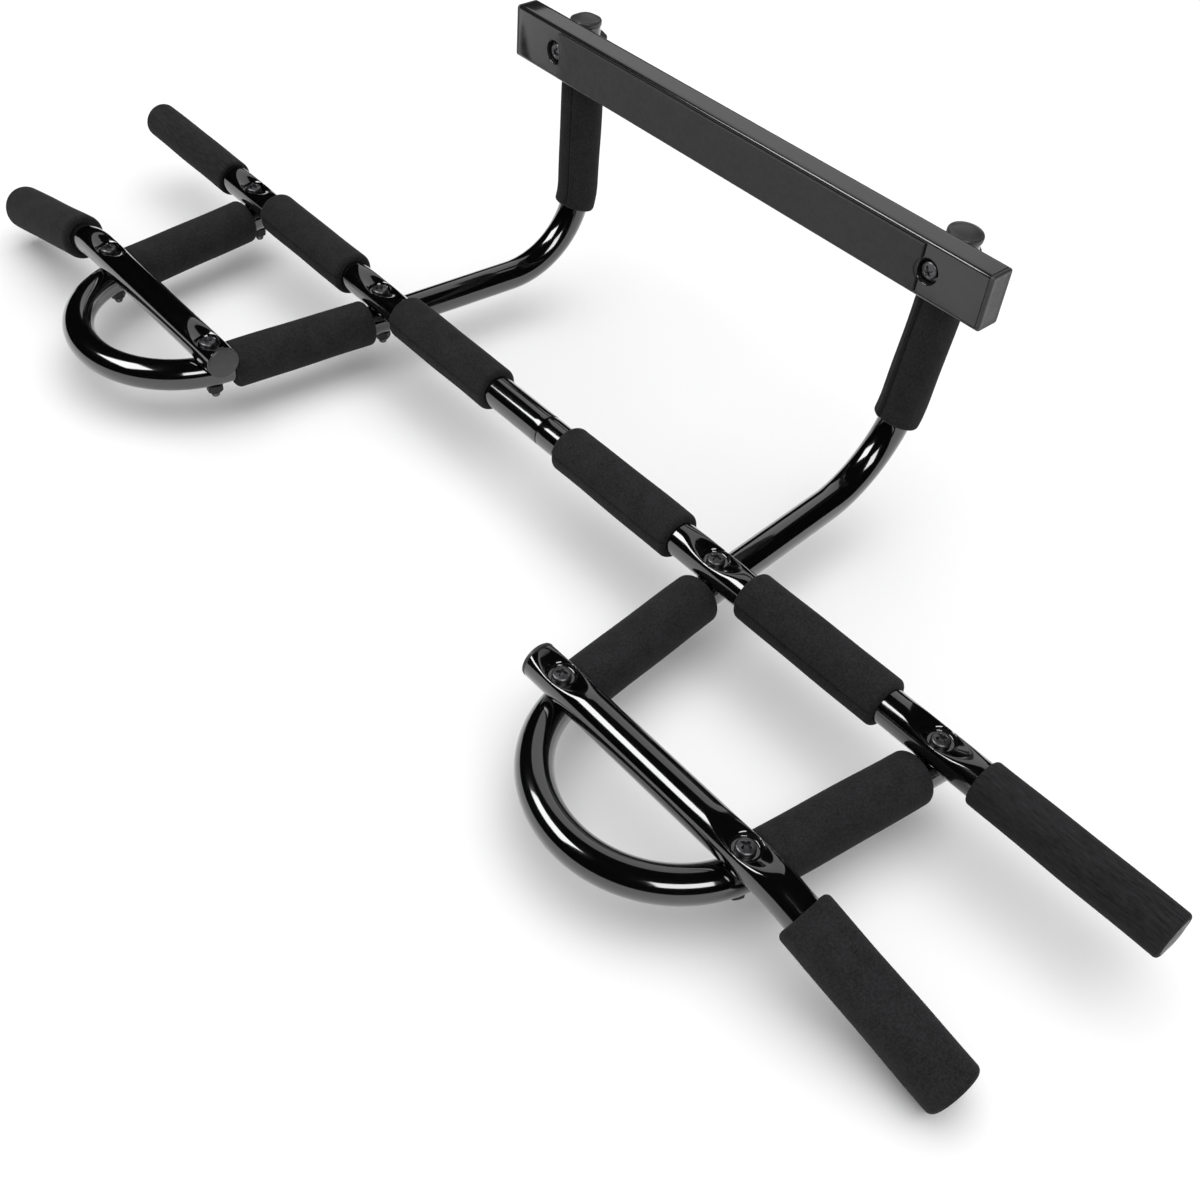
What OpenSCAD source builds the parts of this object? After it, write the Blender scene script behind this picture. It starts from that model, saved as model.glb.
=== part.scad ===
// Doorway pull-up bar. +X runs along the main bar, +Y points to the wall side, +Z up.
// The origin is the middle of the underside of the whole bar.

/* [Main bar] */
// Diameter of the main bar and short bar tube
bar_d = 22; // [20:0.5:25]
// Wall of every round tube
tube_wall = 1.5; // [1.2:0.1:2]
// Length of the main bar's tube, without its end plugs
bar_len = 961; // [920:1:1000]
// Where the two halves of the main bar meet
seam_x = 16.5; // [0:0.5:30]
// Length of the sleeve inside that joint
spigot_len = 120; // [80:1:130]

/* [Loop arms] */
// Diameter of the loop tube
loop_d = 21; // [19:0.5:22]
// How deep a crossing tube beds into the bar above it
nest = 3.7; // [2:0.1:4.5]
// Inner leg's place under the main bar
inner_x = 170; // [165:1:175]
// Outer leg's place under the main bar
outer_x = 338.5; // [334:0.5:342]
// How far the inner leg moves outwards on its way to the short bar
inner_shift = 13.6; // [11:0.1:15]
// How far the outer leg moves inwards on its way to the short bar
outer_shift = 16.5; // [14:0.1:18]
// Radius of the front bend, at the tube's middle
loop_bend_r = 70.7; // [70:0.1:71.5]
// Length of the outer leg behind the main bar
leg_tail = 14; // [12:0.5:17]
// Angle of the arms inwards
arm_toe = 4.49; // [4:0.01:5]
// Where an arm turns up, behind the main bar
upright_y = 168.7; // [160:0.1:175]
// Radius of the arm's bend, at the tube's middle
arm_bend_r = 62; // [58:0.5:66]
// Angle of the uprights outwards
splay = 3.2; // [2:0.01:4]
// Angle of the uprights backwards
lean = 2; // [0:0.01:2.5]
// Height of an upright's tube above the main bar
upright_top = 156; // [154:0.5:160]

/* [Short bars] */
// Distance from the main bar forward to the short bars
short_y = 128; // [124:1:132]
// Inner end of a short bar's tube
short_inner_x = 165.5; // [160:0.5:168]
// Where a short bar turns down
short_bend_x = 341; // [339:1:346]
// Radius of that bend, at the tube's middle
short_bend_r = 60; // [50:1:70]
// How steeply the right one's outer end points down
short_down = 17.16; // [12:0.01:20]
// How far it points back to the main bar
short_back = 3.06; // [1:0.01:5]
// How steeply the left one's outer end points down
short_down_left = 12.5; // [8:0.1:16]
// How far it points towards the user
short_fore_left = 2; // [1:0.1:7]
// Length of its outer end, from the bend
short_end_len = 122.5; // [118:0.5:126]

/* [Crossbar] */
// Length with its end caps
cross_len = 414.5; // [404:0.5:420]
// Height
cross_h = 35.8; // [34.5:0.1:37]
// Depth
cross_d = 18; // [16:0.1:19]
// Wall
cross_wall = 1.5; // [1.2:0.1:2]
// Height of its underside above the main bar's middle
cross_z = 124.8; // [124:0.1:126]
// How deep an upright beds into its back
cross_nest = 1.2; // [0.8:0.1:1.5]
// Length of the wall pad
pad_len = 320; // [316:1:324]
// Thickness of the wall pad
pad_t = 2; // [1.5:0.1:3]
// Height of the wall pad
pad_h = 31; // [26:0.5:31]

/* [Foam] */
// Length of a standard grip
grip_len = 104; // [98:1:104]
// Diameter of the grips on the main bar
bar_grip_d = 31; // [29:0.5:32]
// Diameter of the grips on the legs and the short bars
leg_grip_d = 32; // [30:0.5:32]
// Diameter of the arm sleeves
sleeve_d = 30; // [28:0.5:31]
// Diameter of the end grips
end_grip_d = 27.5; // [26:0.5:30]
// Length of the end grips
end_grip_len = 115.5; // [110:0.5:120]
// Inner end of a centre grip
centre_grip_x = 36; // [32:1:40]
// Inner end of the left outer grip
outer_grip_left_x = 203; // [198:1:206]
// Inner end of the right outer grip
outer_grip_right_x = 199; // [198:1:206]
// Gap from the main bar's middle to a leg grip
leg_grip_gap = 11.5; // [11:0.5:13]
// Gap from a short bar's bend to its grip
short_grip_gap = 20.5; // [19:0.5:22]
// Top of an arm sleeve above the main bar's middle
sleeve_top = 119.5; // [116:0.5:120.5]
// Turn of the arm's bend that its sleeve covers, in degrees
sleeve_turn = 18; // [10:1:30]

/* [Fasteners] */
// Thread diameter
bolt_d = 6; // [5:1:6]
// Length under the head
bolt_len = 42; // [42:0.5:45]
// Diameter of the pan head
head_d = 11; // [10:0.5:12]
// Height of the pan head
head_h = 3.6; // [3.5:0.1:4.5]
// Height of a round tube's bolt seat above the tube's middle
seat_z = 4; // [3:0.1:5]

/* [Hidden] */
$fn = 64;

bar_r = bar_d / 2;
loop_r = loop_d / 2;
drop = bar_r + loop_r - nest;           // loop tube's middle below the bars' middles
half_bar = bar_len / 2;
bend_swell = 0.02;                      // a bent stretch is a hair fatter than the straights
bend_lap = 0.5;                         // the straights reach this far into a bend

pocket_r = 7.5;                         // flat seat of a bolt dimple
flare_from = 1.6;                       // the dimple opens this far above its seat
flare_h = 12;
flare_grow = 11;
bolt_clear = 0.3;
head_round = 1.6;
washer_d = 12;
washer_t = 1.2;
nut_af = 10;
nut_t = 5;
flat_cut = 0.9;                         // depth of the flat under a washer
flat_r = 6.5;
cup_r = 8;                              // pressed cup around a crossbar bolt
cup_depth = 4.2;
cup_wall = 1.2;
pad_bite_r = 8.6;
lead_in = 0.7;                          // the crossbar's saddles open by this much at their ends
lead_in_h = 4;
lead_in_tip = 0.1;                      // their small ends finish inside the bed

plug_stem = 14;
short_stem = 4;                         // where a bolt stands close behind a plug
plug_rim_t = 2;
plug_dome = 1;
cap_rim_t = 4;
cap_dome = 3;
cap_over = 0.5;
cross_cap_t = 2.5;
cross_cap_stem = 12;
cross_corner = 2.25;
grip_round = 3;
round_steps = 5;

steel_black = [0.05, 0.05, 0.055];
foam_black = [0.13, 0.13, 0.13];
plastic_black = [0.22, 0.22, 0.23];
screw_dark = [0.3, 0.3, 0.32];

// Directions, all of length 1
function unit(v) = v / norm(v);
leg_in = unit([inner_shift, -short_y, 0]);
leg_out = unit([-outer_shift, -short_y, 0]);
arm_dir = [-sin(arm_toe), cos(arm_toe), 0];
up_dir = unit([tan(splay), tan(lean), 1]);
function heading(down, back) = [cos(back) * cos(down), sin(back) * cos(down), -sin(down)];
short_dir = heading(short_down, short_back);
short_dir_left = heading(short_down_left, -short_fore_left);
x_dir = [1, 0, 0];
down = [0, 0, -1];

// The legs, if drawn on, meet at the apex; the front bend touches both
leg_half_angle = acos(leg_in * leg_out) / 2;
apex_y = -short_y * (outer_x - inner_x) / (inner_shift + outer_shift);
apex = [inner_x - inner_shift * apex_y / short_y, apex_y, -drop];
leg_in_end = apex - leg_in * loop_bend_r / tan(leg_half_angle);
leg_out_end = apex - leg_out * loop_bend_r / tan(leg_half_angle);
loop_mid = (leg_in_end + leg_out_end) / 2 - unit(leg_in + leg_out) * loop_bend_r * sin(leg_half_angle);
front_y = loop_mid[1] - loop_bend_r - loop_r;

// The inner leg turns into the arm just behind the main bar, and the arm turns up
inner_cross = [inner_x, 0, -drop];
outer_cross = [outer_x, 0, -drop];
elbow_back = 16;
elbow_r = 200;
elbow_mid = inner_cross - leg_in * elbow_back;
elbow_tan = elbow_r * tan(acos(-leg_in * arm_dir) / 2);
arm_corner = elbow_mid + arm_dir * (upright_y - elbow_mid[1]) / arm_dir[1];
arm_turn = acos(arm_dir * up_dir);
arm_tan = arm_bend_r * tan(arm_turn / 2);
arm_top = arm_corner + up_dir * (upright_top + drop) / up_dir[2];

// The short bar and its bend; d is the direction of its outer end
short_corner = [short_bend_x, -short_y, 0];
function short_tan(d) = short_bend_r * tan(acos(x_dir * d) / 2);
function short_end(d) = short_corner + d * short_end_len;

// Crossings with a bar above a leg: [place, leg's direction]
bar_crossings = [[[inner_x, 0, 0], leg_in], [[outer_x, 0, 0], leg_out]];
short_crossings = [
    [[inner_x + inner_shift, -short_y, 0], leg_in], [[outer_x - outer_shift, -short_y, 0], leg_out]
];
tube_bottom = -drop - loop_r;
washer_z = tube_bottom + flat_cut;      // top of a washer under a leg

// Crossbar bolts run along Y through the middle of each upright
cross_mid_z = cross_z + cross_h / 2;
up_mid = arm_corner + up_dir * (cross_mid_z + drop) / up_dir[2];
cross_back = up_mid[1] - loop_r + cross_nest;
cross_front = cross_back - cross_d;
cross_bolt_x = up_mid[0];
cross_seat_y = cross_front + cup_depth;
cross_washer_y = up_mid[1] + loop_r - flat_cut;
back_y = cross_seat_y + bolt_len;

// The frame's origin is under the middle of the whole object
lowest = short_corner[2] + short_dir[2] * (short_grip_gap + grip_len - grip_round)
    - (leg_grip_d / 2 - grip_round) * norm([short_dir[0], short_dir[1]]) - grip_round;
bar_mid = [0, -(front_y + back_y) / 2, -lowest];

module place() { translate(bar_mid) children(); }
module on_right() { place() children(); }
module on_left() { place() mirror([1, 0, 0]) children(); }
module on_both() {
    on_right() children();
    on_left() children();
}

// Turns +Z to the direction d and moves the start to p
module aim(p, d) {
    translate(p) rotate([0, acos(d[2]), d[0] == 0 && d[1] == 0 ? 0 : atan2(d[1], d[0])]) children();
}

// A straight round rod from p to q
module rod(p, q, r) { aim(p, unit(q - p)) cylinder(h = norm(q - p), r = r); }

// Puts a bend's own frame in place: it starts at p heading d and ends heading e
module bend_frame(p, d, e, bend_r) {
    n = unit(cross(d, e));
    inward = cross(n, d);
    c = p + inward * bend_r;
    multmatrix([
        [-inward[0], d[0], n[0], c[0]],
        [-inward[1], d[1], n[1], c[1]],
        [-inward[2], d[2], n[2], c[2]],
        [0, 0, 0, 1]
    ]) children();
}

module bend(p, d, e, bend_r, r, turn = 0) {
    bend_frame(p, d, e, bend_r)
        rotate_extrude(angle = turn > 0 ? turn : acos(d * e))
            translate([bend_r, 0]) circle(r = r + bend_swell);
}

// A sleeve's half section with rounded outer corners, turned about its own axis
module turned_sleeve(length, r_in, r_out, rounding) {
    rotate_extrude() polygon(concat(
        [[r_in, 0]],
        [for (i = [0 : round_steps]) let (a = 90 * i / round_steps)
            [r_out - rounding * (1 - sin(a)), rounding * (1 - cos(a))]],
        [for (i = [0 : round_steps]) let (a = 90 * i / round_steps)
            [r_out - rounding * (1 - cos(a)), length - rounding * (1 - sin(a))]],
        [[r_in, length]]
    ));
}

// A foam grip on a straight tube, from p along d
module grip(p, d, length, r_in, r_out) {
    color(foam_black) aim(p, d) turned_sleeve(length, r_in, r_out, min(grip_round, r_out - r_in - 0.5));
}

// A shallow dome of height h on radius r, as a half section from z = 0
function dome_points(r, h) = [for (i = [0 : round_steps]) let (a = 90 * i / round_steps)
    [r * cos(a), h * sin(a)]];

// A plug's stem fills the tube's bore, and its domed rim covers the tube's end
module plug(p, d, tube_r, rim_t, dome, over = 0, stem = plug_stem) {
    color(plastic_black) aim(p, d) rotate_extrude() polygon(concat(
        [[0, -stem], [tube_r - tube_wall, -stem], [tube_r - tube_wall, 0], [tube_r + over, 0]],
        [for (q = dome_points(tube_r + over, dome)) [q[0], q[1] + rim_t]]
    ));
}

// Cuts a bolt's dimple into a bar's top and the leg's saddle into its underside
module crossing_cuts(crossings, grow) {
    for (c = crossings) {
        translate(c[0] + [0, 0, seat_z - grow]) cylinder(h = bar_d, r = pocket_r + grow);
        translate(c[0] + [0, 0, seat_z + flare_from - grow])
            cylinder(h = flare_h, r1 = pocket_r + grow, r2 = pocket_r + flare_grow + grow);
        rod(c[0] + down * drop - c[1] * bar_d * 1.5, c[0] + down * drop + c[1] * bar_d * 1.5, loop_r + grow);
    }
}

module bolt_holes(crossings) {
    for (c = crossings) translate(c[0] + down * bar_d * 2)
        cylinder(h = bar_d * 3, r = bolt_d / 2 + bolt_clear);
}

module main_bar(start) {
    color(steel_black) difference() {
        rod([start, 0, 0], [half_bar, 0, 0], bar_r);
        crossing_cuts(bar_crossings, 0);
        difference() {
            rod([start - 1, 0, 0], [half_bar + 1, 0, 0], bar_r - tube_wall);
            crossing_cuts(bar_crossings, tube_wall);
        }
        bolt_holes(bar_crossings);
    }
}

module main_bar_spigot() {
    color(screw_dark) aim([seam_x - spigot_len / 2, 0, 0], x_dir) difference() {
        cylinder(h = spigot_len, r = bar_r - tube_wall);
        translate([0, 0, -1]) cylinder(h = spigot_len + 2, r = bar_r - 2 * tube_wall);
    }
}

module short_bar_run(d, r, over) {
    rod([short_inner_x - over, -short_y, 0], short_corner - x_dir * (short_tan(d) - bend_lap), r);
    bend(short_corner - x_dir * short_tan(d), x_dir, d, short_bend_r, r);
    rod(short_corner + d * (short_tan(d) - bend_lap), short_end(d) + d * over, r);
}

module short_bar(d) {
    color(steel_black) difference() {
        short_bar_run(d, bar_r, 0);
        crossing_cuts(short_crossings, 0);
        difference() {
            short_bar_run(d, bar_r - tube_wall, 1);
            crossing_cuts(short_crossings, tube_wall);
        }
        bolt_holes(short_crossings);
    }
}

// The loop tube: outer leg, front bend, inner leg, arm and upright
module loop_run(r, over) {
    rod(outer_cross - leg_out * (leg_tail + over), leg_out_end + leg_out * bend_lap, r);
    bend(leg_out_end, leg_out, -leg_in, loop_bend_r, r);
    rod(leg_in_end + leg_in * bend_lap, elbow_mid + leg_in * (elbow_tan - bend_lap), r);
    bend(elbow_mid + leg_in * elbow_tan, -leg_in, arm_dir, elbow_r, r);
    rod(elbow_mid + arm_dir * (elbow_tan - bend_lap), arm_corner - arm_dir * (arm_tan - bend_lap), r);
    bend(arm_corner - arm_dir * arm_tan, arm_dir, up_dir, arm_bend_r, r);
    rod(arm_corner + up_dir * (arm_tan - bend_lap), arm_top + up_dir * over, r);
}

// Flats for the washers, under the legs and behind the upright
module washer_flats(grow) {
    for (c = concat(bar_crossings, short_crossings))
        translate([c[0][0], c[0][1], washer_z - loop_r + grow]) cylinder(h = loop_r, r = flat_r + grow);
    translate([cross_bolt_x, cross_washer_y - grow, cross_mid_z]) rotate([-90, 0, 0])
        cylinder(h = loop_r, r = flat_r + grow);
}

module loop_arm() {
    color(steel_black) difference() {
        loop_run(loop_r, 0);
        washer_flats(0);
        difference() {
            loop_run(loop_r - tube_wall, 1);
            washer_flats(tube_wall / 2);
        }
        bolt_holes(concat(bar_crossings, short_crossings));
        translate([cross_bolt_x, cross_front, cross_mid_z]) rotate([-90, 0, 0])
            cylinder(h = bar_d * 3, r = bolt_d / 2 + bolt_clear);
    }
}

// A rounded rectangle across the crossbar, smaller than its outline by inset
module cross_section(inset) {
    r = max(cross_corner - inset, 0.4);
    w = cross_d / 2 - inset - r;
    h = cross_h / 2 - inset - r;
    polygon([for (k = [0 : 3], i = [0 : round_steps])
        let (a = 90 * k + 90 * i / round_steps, sx = k == 0 || k == 3 ? 1 : -1, sy = k < 2 ? 1 : -1)
            [sx * w + r * cos(a), sy * h + r * sin(a)]]);
}

// Extrudes along +X from x = start, with the section's first axis along Y
module cross_extrude(start, length, inset) {
    translate([start, (cross_front + cross_back) / 2, cross_mid_z])
        rotate([90, 0, 90]) linear_extrude(height = length) cross_section(inset);
}

module cup(grow) {
    for (s = [-1, 1]) translate([s * cross_bolt_x, cross_front - cross_d, cross_mid_z]) rotate([-90, 0, 0])
        cylinder(h = cross_d + cup_depth + grow, r = cup_r + grow);
}

// An upright's bed in the crossbar's back, opening a little at both ends
module upright_saddle(grow) {
    for (s = [0, 1]) mirror([s, 0, 0]) {
        rod(up_mid - up_dir * cross_h, up_mid + up_dir * cross_h, loop_r + grow);
        for (e = [-1, 1]) aim(up_mid + up_dir * e * (cross_h / 2 + 1), -e * up_dir)
            cylinder(h = lead_in_h, r1 = loop_r + lead_in + grow, r2 = loop_r - lead_in_tip + grow);
    }
}

module crossbar() {
    half = cross_len / 2 - cross_cap_t;
    place() color(steel_black) difference() {
        cross_extrude(-half, 2 * half, 0);
        cup(0);
        upright_saddle(0);
        difference() {
            cross_extrude(-half - 1, 2 * half + 2, cross_wall);
            cup(cup_wall);
            upright_saddle(cross_wall);
        }
        for (s = [-1, 1]) translate([s * cross_bolt_x, cross_front, cross_mid_z]) rotate([-90, 0, 0])
            cylinder(h = cross_d * 2, r = bolt_d / 2 + bolt_clear);
    }
}

module crossbar_cap() {
    half = cross_len / 2 - cross_cap_t;
    edge = 0.8;
    color(plastic_black) {
        cross_extrude(half - cross_cap_stem, cross_cap_stem, cross_wall);
        cross_extrude(half, cross_cap_t - edge, 0);
        cross_extrude(half + cross_cap_t - edge, edge, edge);
    }
}

module crossbar_wall_pad() {
    place() color(foam_black) difference() {
        translate([-pad_len / 2, cross_front - pad_t, cross_mid_z - pad_h / 2]) cube([pad_len, pad_t, pad_h]);
        for (s = [-1, 1]) translate([s * cross_bolt_x, cross_front - 2 * pad_t, cross_mid_z]) rotate([-90, 0, 0])
            cylinder(h = 3 * pad_t, r = pad_bite_r);
    }
}

module bar_grip(start) { grip([start, 0, 0], x_dir, grip_len, bar_r, bar_grip_d / 2); }
module end_grip() {
    grip([half_bar + plug_rim_t - end_grip_len, 0, 0], x_dir, end_grip_len, bar_r, end_grip_d / 2);
}
module inner_leg_grip() {
    grip(inner_cross + leg_in * leg_grip_gap, leg_in, grip_len, loop_r, leg_grip_d / 2);
}
module outer_leg_grip() {
    grip(outer_cross + leg_out * leg_grip_gap, leg_out, grip_len, loop_r, leg_grip_d / 2);
}
module short_bar_grip(d) {
    grip(short_corner + d * short_grip_gap, d, grip_len, bar_r, leg_grip_d / 2);
}

// The arm's sleeve follows the end of the bend and the upright
module sleeve_run(r, over) {
    straight_end = arm_corner + up_dir * (sleeve_top + drop + over) / up_dir[2];
    rod(arm_corner + up_dir * (arm_tan - bend_lap), straight_end, r);
    bend(arm_corner + up_dir * arm_tan, -up_dir, -arm_dir, arm_bend_r, r, sleeve_turn + over);
}

module arm_sleeve() {
    color(foam_black) difference() {
        sleeve_run(sleeve_d / 2, 0);
        sleeve_run(loop_r, 1);
    }
}

module main_bar_plug() { plug([half_bar, 0, 0], x_dir, bar_r, plug_rim_t, plug_dome); }
module short_bar_inner_plug() {
    plug([short_inner_x, -short_y, 0], -x_dir, bar_r, plug_rim_t, plug_dome, stem = short_stem);
}
module short_bar_outer_plug(d) { plug(short_end(d), d, bar_r, plug_rim_t, plug_dome); }
module leg_end_plug() {
    plug(outer_cross - leg_out * leg_tail, -leg_out, loop_r, plug_rim_t, plug_dome, stem = short_stem);
}
module arm_top_cap() {
    plug(arm_top, up_dir, loop_r, cap_rim_t, cap_dome, cap_over, stem = short_stem);
}

// Fasteners stand on their seat at z = 0, with the shank pointing down
module pan_bolt() {
    color(screw_dark) difference() {
        union() {
            rotate_extrude() polygon(concat(
                [[0, 0], [head_d / 2, 0], [head_d / 2, head_h - head_round]],
                [for (q = dome_points(head_d / 2, head_round)) if (q[1] > 0) [q[0], head_h - head_round + q[1]]]
            ));
            translate([0, 0, -bolt_len]) cylinder(h = bolt_len + 1, r = bolt_d / 2);
        }
        for (a = [0, 90]) rotate(a) translate([-head_d * 0.3, -head_d / 16, head_h - 2.2])
            cube([head_d * 0.6, head_d / 8, head_h]);
    }
}

// A washer and a nut hang below z = 0
module washer() {
    color(screw_dark) translate([0, 0, -washer_t]) difference() {
        cylinder(h = washer_t, r = washer_d / 2);
        translate([0, 0, -1]) cylinder(h = washer_t + 2, r = bolt_d / 2 + bolt_clear);
    }
}
module nut() {
    color(screw_dark) translate([0, 0, -nut_t]) difference() {
        cylinder(h = nut_t, r = nut_af / sqrt(3), $fn = 6);
        translate([0, 0, -1]) cylinder(h = nut_t + 2, r = bolt_d / 2);
    }
}

module at_crossings(crossings, z) {
    on_both() for (c = crossings) translate([c[0][0], c[0][1], z]) children();
}
module at_cross_bolts(y) {
    on_both() translate([cross_bolt_x, y, cross_mid_z]) rotate([90, 0, 0]) children();
}

on_left() main_bar(-seam_x);  // main_bar_left
on_right() main_bar(seam_x);  // main_bar_right
place() main_bar_spigot();
on_left() loop_arm();  // loop_arm_left
on_right() loop_arm();  // loop_arm_right
on_left() short_bar(short_dir_left);  // short_bar_left
on_right() short_bar(short_dir);  // short_bar_right
crossbar();
crossbar_wall_pad();
on_left() crossbar_cap();  // crossbar_cap_left
on_right() crossbar_cap();  // crossbar_cap_right
on_left() bar_grip(centre_grip_x);  // centre_grip_left
on_right() bar_grip(centre_grip_x);  // centre_grip_right
on_left() bar_grip(outer_grip_left_x);  // outer_grip_left
on_right() bar_grip(outer_grip_right_x);  // outer_grip_right
on_left() end_grip();  // end_grip_left
on_right() end_grip();  // end_grip_right
on_left() inner_leg_grip();  // inner_leg_grip_left
on_right() inner_leg_grip();  // inner_leg_grip_right
on_left() outer_leg_grip();  // outer_leg_grip_left
on_right() outer_leg_grip();  // outer_leg_grip_right
on_left() short_bar_grip(short_dir_left);  // short_bar_grip_left
on_right() short_bar_grip(short_dir);  // short_bar_grip_right
on_left() arm_sleeve();  // arm_sleeve_left
on_right() arm_sleeve();  // arm_sleeve_right
on_left() main_bar_plug();  // main_bar_plug_left
on_right() main_bar_plug();  // main_bar_plug_right
on_left() short_bar_inner_plug();  // short_bar_inner_plug_left
on_right() short_bar_inner_plug();  // short_bar_inner_plug_right
on_left() short_bar_outer_plug(short_dir_left);  // short_bar_outer_plug_left
on_right() short_bar_outer_plug(short_dir);  // short_bar_outer_plug_right
on_left() leg_end_plug();  // leg_end_plug_left
on_right() leg_end_plug();  // leg_end_plug_right
on_left() arm_top_cap();  // arm_top_cap_left
on_right() arm_top_cap();  // arm_top_cap_right
at_crossings(bar_crossings, seat_z) pan_bolt();  // main_bar_bolts
at_crossings(bar_crossings, washer_z) washer();  // main_bar_washers
at_crossings(bar_crossings, washer_z - washer_t) nut();  // main_bar_nuts
at_crossings(short_crossings, seat_z) pan_bolt();  // short_bar_bolts
at_crossings(short_crossings, washer_z) washer();  // short_bar_washers
at_crossings(short_crossings, washer_z - washer_t) nut();  // short_bar_nuts
at_cross_bolts(cross_seat_y) pan_bolt();  // crossbar_bolts
at_cross_bolts(cross_washer_y) washer();  // crossbar_washers
at_cross_bolts(cross_washer_y + washer_t) nut();  // crossbar_nuts
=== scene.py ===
import math
import bpy
import numpy as np
from mathutils import Matrix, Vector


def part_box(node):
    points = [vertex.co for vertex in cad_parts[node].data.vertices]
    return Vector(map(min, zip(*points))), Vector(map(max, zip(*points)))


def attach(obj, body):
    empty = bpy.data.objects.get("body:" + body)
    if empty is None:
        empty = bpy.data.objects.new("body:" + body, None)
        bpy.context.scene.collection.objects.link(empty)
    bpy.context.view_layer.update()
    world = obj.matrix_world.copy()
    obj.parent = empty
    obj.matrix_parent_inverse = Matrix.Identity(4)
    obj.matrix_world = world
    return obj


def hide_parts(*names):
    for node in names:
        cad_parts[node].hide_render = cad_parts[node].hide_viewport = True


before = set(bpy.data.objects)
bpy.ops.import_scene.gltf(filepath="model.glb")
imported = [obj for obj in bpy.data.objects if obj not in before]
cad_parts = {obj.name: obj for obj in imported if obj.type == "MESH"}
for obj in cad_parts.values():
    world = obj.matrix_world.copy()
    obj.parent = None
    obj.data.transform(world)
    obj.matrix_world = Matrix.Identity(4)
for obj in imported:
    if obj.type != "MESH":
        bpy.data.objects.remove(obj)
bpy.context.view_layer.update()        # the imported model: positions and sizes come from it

print("frame loaded:", len(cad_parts), "nodes")

# Shared measures, in mm from the middle of the main bar
mm = 0.001
spigotLow, spigotHigh = (np.array(corner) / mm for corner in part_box("main_bar_spigot"))
barMiddle = np.array([0.0, (spigotLow[1] + spigotHigh[1]) / 2, (spigotLow[2] + spigotHigh[2]) / 2])

layout = {
    "barRadius": 11.0,          # main bar and short bars, 22 mm tube
    "loopRadius": 10.5,         # loop tube, 21 mm
    "drop": 17.8,               # loop tube's middle below the bars' middles
    "halfBar": 480.5,
    "seam": 16.5, "seamGap": 0.35,      # joint of the main bar's halves, and half its open line
    "shortY": -128.0,
    "innerX": 170.0, "outerX": 338.5,
    "innerShift": 13.6, "outerShift": -16.5,
    "seat": 4.0,                # bolt seat above a bar's middle
    "washerTop": -27.4,
    "crossMiddle": 142.7,       # height of the crossbar's bolts
}


def unit(v):
    v = np.asarray(v, dtype=float)
    return v / np.linalg.norm(v, axis=-1, keepdims=True)


legIn = unit([layout["innerShift"], layout["shortY"], 0])
legOut = unit([layout["outerShift"], layout["shortY"], 0])
barBolts = [(layout["innerX"], 0.0, legIn), (layout["outerX"], 0.0, legOut)]
shortBolts = [
    (layout["innerX"] + layout["innerShift"], layout["shortY"], legIn),
    (layout["outerX"] + layout["outerShift"], layout["shortY"], legOut),
]


# Surfaces: every piece is a grid of points, rows along it and columns round it

# The smaller of a and b, with a fillet about blend wide where they cross.
def smoothMin(a, b, blend):
    h = np.clip(0.5 + 0.5 * (b - a) / blend, 0, 1)
    return b * (1 - h) + a * h - blend * h * (1 - h)


# The larger of a and b, filleted the same way.
def smoothMax(a, b, blend):
    return -smoothMin(-a, -b, blend)


# Goes from 0 to 1 as x does, level at both ends: 3x squared less 2x cubed.
def ramp(x):
    x = np.clip(x, 0, 1)
    return x * x * (3 - 2 * x)


# A line through the corners with each one rounded: an arc starts radius * tan(turn / 2)
# before its corner. Returns distance, point and heading arrays.
def bentPath(corners, radii, step=0.5):
    corners = np.asarray(corners, dtype=float)
    distance, points, headings = [0.0], [corners[0]], [unit(corners[1] - corners[0])]
    for i, radius in enumerate(radii, start=1):
        a = unit(corners[i] - corners[i - 1])
        b = unit(corners[i + 1] - corners[i])
        turn = math.acos(float(a @ b))
        inward = unit(b - a * (a @ b))
        start = corners[i] - a * radius * math.tan(turn / 2)
        angle = np.linspace(0, turn, max(3, int(turn * radius / step)))[:, None]
        arc = start + radius * (np.sin(angle) * a + (1 - np.cos(angle)) * inward)
        reach = distance[-1] + np.linalg.norm(start - points[-1])
        distance += list(reach + radius * angle[:, 0])
        points += list(arc)
        headings += list(np.cos(angle) * a + np.sin(angle) * inward)
    distance.append(distance[-1] + np.linalg.norm(corners[-1] - points[-1]))
    points.append(corners[-1])
    headings.append(unit(corners[-1] - corners[-2]))
    return np.array(distance), np.array(points), np.array(headings)


# Point and heading at distance s, between the path's own points, and straight on past its ends.
def alongPath(path, s):
    distance, points, headings = path
    s = np.asarray(s, dtype=float)
    at = np.stack([np.interp(s, distance, points[:, k]) for k in range(3)], axis=-1)
    past = (s - np.clip(s, distance[0], distance[-1]))[..., None]
    way = unit(np.stack([np.interp(s, distance, headings[:, k]) for k in range(3)], axis=-1))
    return at + past * way, way


# Point = path(s) + radius * (cos a * side + sin a * over): side is the part of upward that is
# square to the path, over is square to both. radius may vary along s and round a.
def rings(path, s, radius, around, upward=(0, 0, 1)):
    at, way = alongPath(path, s)
    upward = np.asarray(upward, dtype=float)
    side = unit(upward - (way @ upward)[:, None] * way)
    over = np.cross(way, side)
    a = np.linspace(0, 2 * math.pi, around, endpoint=False)[None, :, None]
    radius = np.asarray(radius, dtype=float)
    radius = radius[:, None] if radius.ndim == 1 else radius
    return at[:, None] + radius[:, :, None] * (np.cos(a) * side[:, None] + np.sin(a) * over[:, None])


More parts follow.
